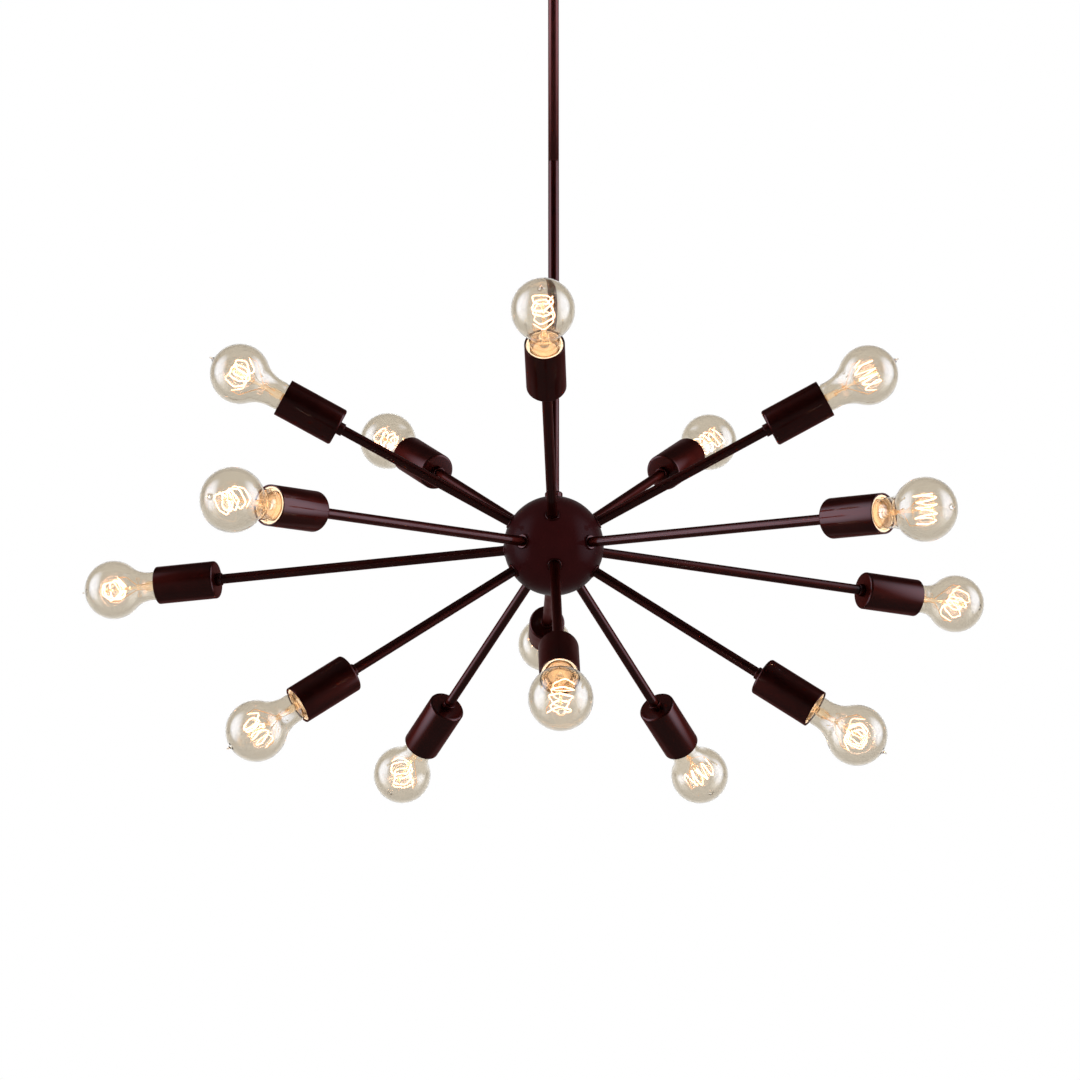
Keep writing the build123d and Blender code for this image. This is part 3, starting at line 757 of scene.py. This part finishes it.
foot = CAP_RADIUS - CAP_WALL - NECK_CLEARANCE
inner_foot = foot - GLASS_WALL
inner_neck = NECK_RADIUS - GLASS_WALL
inner_ball = BULB_RADIUS - GLASS_WALL
tip_angle = degrees(acos(TIP_BASE / BULB_RADIUS))
tip_drop = BULB_RADIUS * sin(radians(tip_angle)) - TIP_TOP + TIP_END
envelope_outline = [(0, TIP_TOP), *arc((0, TIP_TOP - TIP_END), TIP_END, 90, 0, 5)[1:]]
for share in TIP_SHARES:
    swell = TIP_END + (TIP_BASE - TIP_END) * share**TIP_SWELL
    envelope_outline.append((swell, TIP_TOP - TIP_END + tip_drop * share))
envelope_outline += [
    *pear(BULB_RADIUS, NECK_RADIUS, NECK_SWEEP, tip_angle),
    (NECK_RADIUS, CAP_TOP + NECK_TAPER),
    (foot, CAP_TOP),
    (foot, NECK_FOOT),
    (inner_foot, NECK_FOOT),
    (inner_foot, CAP_TOP),
    (inner_neck, CAP_TOP + NECK_TAPER),
    *pear(inner_ball, inner_neck, NECK_SWEEP + GLASS_WALL, 90)[:0:-1],
    (0, inner_ball),
]
envelope_shape = turned("envelope", envelope_outline, steps=72)
print("envelope:", len(envelope_shape.polygons), "faces")

# %% [markdown]
# ## The glass inside
# A flared tube is sealed into the neck. It narrows, is pinched flat round the wires, and goes on as a thin
# rod that carries the filament. The rod has two beads along it and a button at its end, and the wire hooks
# are stuck into them.

# %% Make the stem
FLARE_FOOT = -54.0
FLARE_RADIUS = 11.5
FLARE_UNDER = ((0, 2.5), (6.9, 1.2), (FLARE_RADIUS, 0))
FLARE_BEND = 9.2
FLARE_BEND_CENTRE = (12.5, -44.5)
TUBE_RADIUS = 4.4
ROD_RADIUS = 1.5
PINCH_MIDDLE = -39.0
PINCH_SIDE = ((TUBE_RADIUS, -4), (TUBE_RADIUS, 2), (3.6, 4), (2.0, 5.5), (ROD_RADIUS, 7))
PINCH_REACH = 6.0
PINCH_FLAT = 0.5
PINCH_SPREAD = 0.25
ANCHOR_BEAD = -27.0
ANCHOR_BEAD_RADIUS = 2.8
HOOK_BEAD = -15.5
HOOK_BEAD_RADIUS = 2.0
BUTTON_HEIGHT = 7.5
BUTTON_RADIUS = 2.2
BUTTON_CROWN = 84


def rod_bead(height, radius, top=None):
    """The outline of a bead on the rod, or of the button that ends it."""
    swell = degrees(acos(ROD_RADIUS / radius))
    return arc((0, height), radius, -swell, top or swell, 8)


stem_outline = [
    *((radius, FLARE_FOOT + height) for radius, height in FLARE_UNDER),
    *arc(FLARE_BEND_CENTRE, FLARE_BEND, 264, 192, 8),
    *((radius, PINCH_MIDDLE + height) for radius, height in PINCH_SIDE),
    *rod_bead(ANCHOR_BEAD, ANCHOR_BEAD_RADIUS),
    *rod_bead(HOOK_BEAD, HOOK_BEAD_RADIUS),
    *rod_bead(BUTTON_HEIGHT, BUTTON_RADIUS, BUTTON_CROWN),
    (0, BUTTON_HEIGHT + BUTTON_RADIUS),
]
stem_shape = turned("stem", stem_outline, steps=32)
for corner in stem_shape.vertices:
    nearness = 1 - min(abs(corner.co.z / MM - PINCH_MIDDLE) / PINCH_REACH, 1)
    corner.co.y *= 1 - PINCH_FLAT * nearness**0.5
    corner.co.x *= 1 + PINCH_SPREAD * nearness**0.5
print("stem:", len(stem_shape.polygons), "faces")

# %% [markdown]
# ## The filament
# The wire is a coil of a few wide turns that lies across the bulb, hung on hooks. A tree makes it from a
# spiral with five points in each turn, where the wire meets a hook. Such coils are hung by hand, so a
# little seeded scatter moves every point but the two ends, where the leads meet them. Then the corners are
# rounded and a round section follows the line.

# %% Build the filament tree
COIL_RADIUS = 11.2
COIL_PITCH = 7.0
COIL_TURNS = 4.5
COIL_POINTS = 5
COIL_LENGTH = COIL_TURNS * COIL_PITCH
COIL_SIZES = {"Radius": COIL_RADIUS, "Length": COIL_LENGTH, "Bend": 4.2, "Scatter": 2.3}
WIRE_SIDES = 8
BEND_STEPS = 7


def sweep_wire(tree, curve, bend, radius):
    """Rounds a curve's corners and follows it with a round section."""
    corners = {"Curve": curve, "Radius": bend, "Count": BEND_STEPS, "Limit Radius": True}
    rounded = add(tree, "GeometryNodeFilletCurve", corners, mode="POLY")
    circle = {"Resolution": WIRE_SIDES, "Radius": radius}
    section = add(tree, "GeometryNodeCurvePrimitiveCircle", circle, mode="RADIUS")
    tube = {"Curve": rounded, "Profile Curve": section, "Fill Caps": True}
    return add(tree, "GeometryNodeCurveToMesh", tube)


sizes = dict.fromkeys((*COIL_SIZES, "Wire Radius", "Turns"), "Float")
tree, given = new_tree("crosswise_coil", **sizes, Points="Int", Seed="Int", Finish="Material")
coil = {"Resolution": given["Points"], "Rotations": given["Turns"], "Height": given["Length"]}
width = dict.fromkeys(("Start Radius", "End Radius"), given["Radius"])
spiral = add(tree, "GeometryNodeCurveSpiral", {**coil, **width})
half = add(tree, "ShaderNodeMath", {0: given["Length"], 1: 0.5}, operation="MULTIPLY")
middle = add(tree, "ShaderNodeCombineXYZ", {"Y": half})
crosswise = {"Geometry": spiral, "Translation": middle, "Rotation": (pi / 2, 0, 0)}
laid = add(tree, "GeometryNodeTransform", crosswise)
ends = add(tree, "GeometryNodeCurveEndpointSelection")
between = add(tree, "FunctionNodeBooleanMath", {0: ends}, operation="NOT")
limits = {"Min": (-1.0, -1.0, -1.0), "Max": (1.0, 1.0, 1.0), "Seed": given["Seed"]}
stray = add(tree, "FunctionNodeRandomValue", limits, data_type="FLOAT_VECTOR")
offset = add(tree, "ShaderNodeVectorMath", {0: stray, "Scale": given["Scatter"]}, operation="SCALE")
moved = {"Geometry": laid, "Selection": between, "Offset": offset}
hung = add(tree, "GeometryNodeSetPosition", moved)
wire = sweep_wire(tree, hung, given["Bend"], given["Wire Radius"])
filament_tree = finish_tree(tree, wire, given["Finish"])


def filament(name, wire_radius, seed, finish):
    """One coil of wire of a given thickness, in the bulb's own axes."""
    sizes = {**COIL_SIZES, "Wire Radius": wire_radius}
    counts = {"Turns": COIL_TURNS, "Points": COIL_POINTS, "Seed": seed}
    return grow(name, filament_tree, None, sizes, Finish=finish, **counts)


print("filament tree has", len(filament_tree.nodes), "nodes")

# %% [markdown]
# ## Hooks and leads
# The turns of the filament hang on hooks of thin wire, from the button above and from a bead below.
# Thicker leads come up out of the pinch to its two ends, and the lower bead has two small eyes of wire. All
# are bent lines with a round section, so one small tree makes them from a mesh of lines.

# %% Build the wire tree
HOOK_RADIUS = 0.2
HOOK_BEND = 1.0
HOOK_KNEE_ALONG = 0.6
HOOK_KNEE_UP = 0.3
LEAD_RADIUS = 0.4
LEAD_BEND = 2.5
LEAD_OFFSET = 2.4
LEAD_RISE = 9.0
LEAD_SPLAY = 0.6
LEAD_KNEE = 2.0
EYE_RADIUS = 1.7
EYE_OFFSET = 6.5
EYE_TURN = 330

sizes = dict.fromkeys(("Bend", "Wire Radius"), "Float")
tree, given = new_tree("bent_wire", **sizes, Finish="Material")
curve = add(tree, "GeometryNodeMeshToCurve", {"Mesh": given["Geometry"]})
wire = sweep_wire(tree, curve, given["Bend"], given["Wire Radius"])
wire_tree = finish_tree(tree, wire, given["Finish"])


def wire_mesh(name, lines, bend, radius):
    """Wires along several lines of points in millimetres, as one mesh."""
    points = []
    edges = []
    for line in lines:
        edges += [(len(points) + step, len(points) + step + 1) for step in range(len(line) - 1)]
        points += [Vector(point) * MM for point in line]
    base = bpy.data.meshes.new(name + "_base")
    base.from_pydata(points, edges, [])
    return grow(name, wire_tree, base, {"Bend": bend, "Wire Radius": radius}, Finish=nickel)


def wire_eye(side):
    """A small open eye of wire on a stalk, beside the anchor bead."""
    middle = side * (EYE_OFFSET + EYE_RADIUS)
    ring = [(middle - side * x, 0, ANCHOR_BEAD + z) for x, z in arc((0, 0), EYE_RADIUS, 0, EYE_TURN, 12)]
    return [(side * ROD_RADIUS, 0, ANCHOR_BEAD)] + ring


def coil_lead(side):
    """A lead from the pinch up beside the rod and out to one end of the coil."""
    end = Vector((side * COIL_RADIUS, side * COIL_LENGTH / 2, 0))
    return [
        (side * LEAD_OFFSET, 0, PINCH_MIDDLE),
        (side * LEAD_OFFSET, side * LEAD_SPLAY, ANCHOR_BEAD + LEAD_KNEE),
        end + Vector((0, 0, -LEAD_RISE)),
        end,
    ]


hooks = []
for half_turn in range(round(2 * COIL_TURNS)):
    along = (half_turn + 0.5) * COIL_PITCH / 2 - COIL_LENGTH / 2
    side = 1 if half_turn % 2 == 0 else -1
    root = BUTTON_HEIGHT if side > 0 else HOOK_BEAD
    tip = side * COIL_RADIUS
    knee = (0, along * HOOK_KNEE_ALONG, root + (tip - root) * HOOK_KNEE_UP)
    hooks.append([(0, 0, root), knee, (0, along, tip)])
eyes = [wire_eye(1), wire_eye(-1)]
leads = [coil_lead(1), coil_lead(-1)]
thin_wires = wire_mesh("support_hooks", hooks + eyes, HOOK_BEND, HOOK_RADIUS)
thick_wires = wire_mesh("support_leads", leads, LEAD_BEND, LEAD_RADIUS)
support_shape = joined("support", [thin_wires, thick_wires])
print("supports:", len(support_shape.polygons), "faces")

# %% [markdown]
# ## The screw cap
# The cap is the threaded brass tube, with cement inside under the glass and black glass in its end round
# the contact. The thread's cosine counts from the back of the cup, so the cap is made at that height and
# then moved to the bulb's axes.

# %% Make the cap
INSULATOR_END = -76.1
INSULATOR_END_RADIUS = 6.5
INSULATOR_PLUG = 1.5
SHOULDER_IN = 1.2
SHOULDER_DOWN = 1.6
END_EDGE_OUT = 1.0
END_EDGE_UP = 0.3
PLUG_CLEARANCE = 0.1
CAP_PLAIN_TOP = 3.0
CEMENT_TOP = -56.0
CEMENT_DEPTH = 6.0
CEMENT_EDGE = 1

cap_low = BULB_CENTRE + CAP_BOTTOM
cap_high = BULB_CENTRE + CAP_TOP
cap_shape = threaded("cap", CAP_RADIUS, CAP_WALL, cap_low, cap_high, cap_low, cap_high - CAP_PLAIN_TOP)
cap_shape.transform(Matrix.Translation((0, 0, -BULB_CENTRE * MM)))
plug_radius = CAP_RADIUS - CAP_WALL - THREAD_DEPTH - PLUG_CLEARANCE
plug_top = CAP_BOTTOM + INSULATOR_PLUG
plug_outline = [
    (0, plug_top),
    (plug_radius, plug_top),
    (plug_radius, CAP_BOTTOM),
    (plug_radius - SHOULDER_IN, CAP_BOTTOM - SHOULDER_DOWN),
    (INSULATOR_END_RADIUS + END_EDGE_OUT, INSULATOR_END + END_EDGE_UP),
    (INSULATOR_END_RADIUS, INSULATOR_END),
    (0, INSULATOR_END),
]
plug_shape = turned("plug", plug_outline, steps=48)
cement_inside = plug_radius - CEMENT_EDGE
cement_foot = CEMENT_TOP - CEMENT_DEPTH
cement_outline = [
    (0, CEMENT_TOP),
    (cement_inside, CEMENT_TOP),
    *arc((cement_inside, CEMENT_TOP - CEMENT_EDGE), CEMENT_EDGE, 90, 0, 3),
    (plug_radius, cement_foot),
    (0, cement_foot),
]
cement_shape = turned("cement", cement_outline, steps=48)
cap_parts = ((cap_shape, brass), (plug_shape, black_glass), (cement_shape, cement))
for index, (shape, finish) in enumerate(cap_parts):
    shape.polygons.foreach_set("material_index", [index] * len(shape.polygons))
whole_cap = joined("cap_with_plug", [shape for shape, finish in cap_parts])
for shape, finish in cap_parts:
    whole_cap.materials.append(finish)
print("cap:", len(whole_cap.polygons), "faces")

# %% [markdown]
# ## Put the bulbs in
# Every bulb has the same glass and its own coil, and is screwed in to its own angle. Its pieces ride on its
# body. A small warm lamp in the middle of the filament lights the cup and the lampholder. The glass casts no
# shadow, so that this light gets out without a slow search through the wall.

# %% Place the bulbs
SCREWED_TO = {
    "upper": (8, 20, 70, 110, 35),
    "middle": (97, 3, 60, 140, 75),
    "lower": (-6, 65, 45, 12, 20),
}
HOT_RADIUS = 0.3
INNER_FRINGE_RADIUS = 0.52
OUTER_FRINGE_RADIUS = 1.0
BULB_POWER = 0.2
BULB_COLOUR = "#ffe9d6"
BULB_SOFTNESS = 10.0


def placed(shape, name, matrix):
    """A copy of a shape, moved to its place."""
    mesh = shape.copy()
    mesh.name = name
    mesh.transform(matrix)
    return mesh


def add_light(name, kind, power, colour, place):
    """A lamp that lights matt surfaces and shows in no mirror."""
    light = bpy.data.lights.new(name, kind)
    light.energy = power
    light.color = linear(colour)[:3]
    lamp = put(name, light)
    lamp.location = place
    lamp.visible_camera = lamp.visible_glossy = lamp.visible_transmission = False
    return lamp


for number, (lamp, spot) in enumerate(lamps.items()):
    body = "bulb_" + lamp
    glass_node = "bulb_glass_" + lamp
    tier, place_in_tier = lamp.split("_")
    outward, level = spot["outward"], spot["level"]
    centre = spot["cup_back"] + outward * BULB_CENTRE * MM
    turn = Matrix((level, outward.cross(level), outward)).transposed()
    straight = Matrix.Translation(centre) @ turn.to_4x4()
    angle = radians(SCREWED_TO[tier][int(place_in_tier) - 1])
    screwed = straight @ Matrix.Rotation(angle, 4, "Z")
    for part, shape, finish, slot, *nodes in (
        ("envelope_", envelope_shape, blown_glass, "clear_glass", glass_node),
        ("glass_stem_", stem_shape, stem_glass, "clear_glass"),
        ("supports_", support_shape, nickel, "plated_steel"),
    ):
        mesh = placed(shape, part + lamp, screwed)
        piece = add_piece(part + lamp, mesh, body, finish, slot, *nodes)
        piece.visible_shadow = finish is nickel
    for part, radius, finish in (
        ("filament_", HOT_RADIUS, white_hot),
        ("inner_glow_", INNER_FRINGE_RADIUS, inner_fringe),
        ("outer_glow_", OUTER_FRINGE_RADIUS, outer_fringe),
    ):
        coil = filament(part + lamp, radius, number, finish)
        coil.transform(screwed)
        wire = add_piece(part + lamp, coil, body, None, "plated_steel")
        wire.visible_shadow = False
        if part == "filament_":
            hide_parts(glass_node)
    cap = placed(whole_cap, "cap_" + lamp, straight)
    add_piece("screw_cap_" + lamp, cap, body, None, "brass", "bulb_cap_" + lamp)
    glow = add_light("glow_" + lamp, "POINT", BULB_POWER, BULB_COLOUR, centre)
    glow.data.shadow_soft_size = BULB_SOFTNESS * MM
    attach(glow, body)
print("bulbs:", len(lamps), "with", len(bpy.data.lights), "small lamps")

# %% [markdown]
# ## The pieces that keep their CAD shape
# The ball, the stem, the swivel and what fixes it to the ceiling are right as they are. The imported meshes
# are loose triangles, which shade in facets, so each piece is a copy with its corners merged and shaded
# smooth, apart from real edges.

# %% Smooth copies of the CAD pieces
CAD_SHARP = 30


def smooth_copy(node, body, finish, slot):
    """A copy of a CAD node with merged corners and smooth shading."""
    shape = bmesh.new()
    shape.from_mesh(frame["nodes"][node].data)
    bmesh.ops.remove_doubles(shape, verts=shape.verts, dist=WELD_WITHIN)
    mesh = settle(shape, node + "_smooth", CAD_SHARP)
    add_piece(node + "_smooth", mesh, body, finish, slot, node)


for node, body, finish, slot in (
    ("hub", "fixture", bronze_satin, "bronze"),
    ("stem_check_ring", "fixture", bronze, "bronze"),
    ("stem_lower", "fixture", bronze, "bronze"),
    # The upper stem takes the copy of the bronze with painted light.
    ("stem_upper", "fixture", bronze_painted_lighter, "bronze"),
    ("swivel_knuckle", "fixture", bronze, "bronze"),
    ("swivel_yoke", "yoke", bronze, "bronze"),
    ("swivel_pin", "yoke", zinc, "plated_steel"),
    ("swivel_socket", "ceiling", bronze, "bronze"),
    ("canopy", "ceiling", bronze, "bronze"),
    ("mounting_strap", "ceiling", zinc, "plated_steel"),
    ("lampholder_contacts", "fixture", brass, "brass"),
):
    smooth_copy(node, body, finish, slot)
for lamp in lamps:
    smooth_copy("bulb_contact_" + lamp, "contact_" + lamp, solder, "solder")

# %% [markdown]
# ## Light and background
# A white backdrop stands behind the light, and a tall bright window at each side: they are the pale
# patches on the bulbs and the streaks along the tubes. The room above and behind the camera is dim, which
# keeps the bronze dark. The camera sees white, also through glass. Mirrors see the backdrop, the windows
# and the dim room. A window is an ellipse of directions, given by how far they point back and up, so one
# formula makes both. A soft box high in front gives matt surfaces a little shape.

# %% Light the scene
ROOM_LEVEL = 0.7
DIM_ROOM = 0.02
CEILING_LEVEL = 0.1
CEILING_EDGE = (0.55, 0.95)
BELOW_LEVEL = 0.14
BELOW_EDGE = (-0.3, 0.25)
BACKDROP_EDGE = (0.5, 0.95)
WINDOW_LEVEL = 3.5
WINDOW_COLOUR = "#dfeaff"
WINDOW_BACK = -0.1
WINDOW_DEPTH = 0.55
WINDOW_HEIGHT = 0.75
WINDOW_RISE = 0.14
WINDOW_EDGE = (1.0, 0.1)
BOX_PLACE = (0.6, -4.2, 1.4)
BOX_SIZE = (2.0, 1.4)
BOX_POWER = 40
BOX_COLOUR = "#fff8f0"

world = bpy.data.worlds.new("studio")
world.use_nodes = True
tree = world.node_tree
tree.nodes.clear()
path = add(tree, "ShaderNodeLightPath").outputs
towards = add(tree, "ShaderNodeTexCoord").outputs["Generated"]
_, back, up = add(tree, "ShaderNodeSeparateXYZ", {0: towards}).outputs
known = {"back": back, "up": up, **dict(path.items())}
for result, operation, *values in (
    ("aside", "SUBTRACT", "back", WINDOW_BACK),
    ("deep", "DIVIDE", "aside", WINDOW_DEPTH),
    ("deep squared", "MULTIPLY", "deep", "deep"),
    ("risen", "SUBTRACT", "up", WINDOW_RISE),
    ("high", "DIVIDE", "risen", WINDOW_HEIGHT),
    ("high squared", "MULTIPLY", "high", "high"),
    ("ellipse", "ADD", "deep squared", "high squared"),
    ("seen", "MAXIMUM", "Is Camera Ray", "Is Transmission Ray"),
    ("reflected", "MINIMUM", "Glossy Depth", 1.0),
    ("not matt", "SUBTRACT", 1.0, "Is Diffuse Ray"),
    ("mirrored", "MULTIPLY", "reflected", "not matt"),
):
    inputs = {slot: known.get(value, value) for slot, value in enumerate(values)}
    known[result] = add(tree, "ShaderNodeMath", inputs, operation=operation)
for result, value, edge, low, high in (
    ("backdrop", "back", BACKDROP_EDGE, 0.0, 1.0),
    ("ceiling", "up", CEILING_EDGE, DIM_ROOM, CEILING_LEVEL),
    ("below", "up", BELOW_EDGE, BELOW_LEVEL, 0.0),
    ("window", "ellipse", WINDOW_EDGE, 0.0, WINDOW_LEVEL),
):
    inputs = dict(zip(RAMP, (known[value], *edge, low, high)))
    known[result] = add(tree, "ShaderNodeMapRange", inputs, interpolation_type="SMOOTHSTEP")
sides = add(tree, "ShaderNodeMath", {0: known["ceiling"], 1: known["below"]}, operation="MAXIMUM")
room = add(tree, "ShaderNodeMath", {0: known["backdrop"], 1: sides}, operation="MAXIMUM")
even = add(tree, "ShaderNodeMix", {0: known["seen"], 2: ROOM_LEVEL, 3: 1.0}, data_type="FLOAT")
white = add(tree, "ShaderNodeMix", {0: known["mirrored"], 2: even, 3: room}, data_type="FLOAT")
shine = add(tree, "ShaderNodeMath", {0: known["window"], 1: known["mirrored"]}, operation="MULTIPLY")
walls = add(tree, "ShaderNodeBackground", {"Color": (1, 1, 1, 1), "Strength": white})
panes = add(tree, "ShaderNodeBackground", {"Color": linear(WINDOW_COLOUR), "Strength": shine})
both = add(tree, "ShaderNodeAddShader", {0: walls, 1: panes})
add(tree, "ShaderNodeOutputWorld", {"Surface": both})
world.cycles.sampling_method = "NONE"
scene.world = world
front_box = add_light("front_box", "AREA", BOX_POWER, BOX_COLOUR, BOX_PLACE)
front_box.data.shape = "RECTANGLE"
front_box.data.size, front_box.data.size_y = BOX_SIZE
front_box.rotation_euler = (hub_centre - front_box.location).to_track_quat("-Z", "Y").to_euler()
scene.view_settings.view_transform = "Standard"
print("studio:", len(tree.nodes), "nodes and one soft box")

# %% [markdown]
# ## The floor
# The floor is pale, matt and far below, and so wide that its edge is the horizon. A matt floor can't look
# whiter than the light that falls on it, so it gives a little of its own, only to the camera and through
# glass. The object gets none of that light.

# %% Lay the floor
FLOOR_LEVEL = -2.4
FLOOR_SIZE = 1200.0
FLOOR_LIFT = 0.3
FLOOR_PATCH = 600.0

pale_floor, floor_tree, floor_shader = new_material("pale_floor", Specular_IOR_Level=0.0)
drift(floor_tree, floor_shader, FLOOR_PATCH, ("#efeeec", "#f3f2f0"), (0.65, 0.75))
seen_by = add(floor_tree, "ShaderNodeLightPath").outputs
rays = {0: seen_by["Is Camera Ray"], 1: seen_by["Is Transmission Ray"]}
straight_on = add(floor_tree, "ShaderNodeMath", rays, operation="MAXIMUM")
lift = add(floor_tree, "ShaderNodeMath", {0: straight_on, 1: FLOOR_LIFT}, operation="MULTIPLY")
feed(floor_shader, {"Emission Strength": lift})
pale_floor.cycles.emission_sampling = "NONE"
half = FLOOR_SIZE / 2
corners = [(x * half, y * half, FLOOR_LEVEL) for x, y in ((-1, -1), (1, -1), (1, 1), (-1, 1))]
floor_mesh = bpy.data.meshes.new("floor")
floor_mesh.from_pydata(corners, [], [(0, 1, 2, 3)])
floor_mesh.materials.append(pale_floor)
floor = put("floor", floor_mesh)
floor.visible_glossy = False
floor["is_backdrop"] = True
print("floor at", FLOOR_LEVEL, "m")

# %% [markdown]
# ## Sizes and the end
# The box round everything that renders, apart from the floor, is printed.

# %% Print the visual box
low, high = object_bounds()
print("visual box:", [round(v, 3) for v in low], "to", [round(v, 3) for v in high])
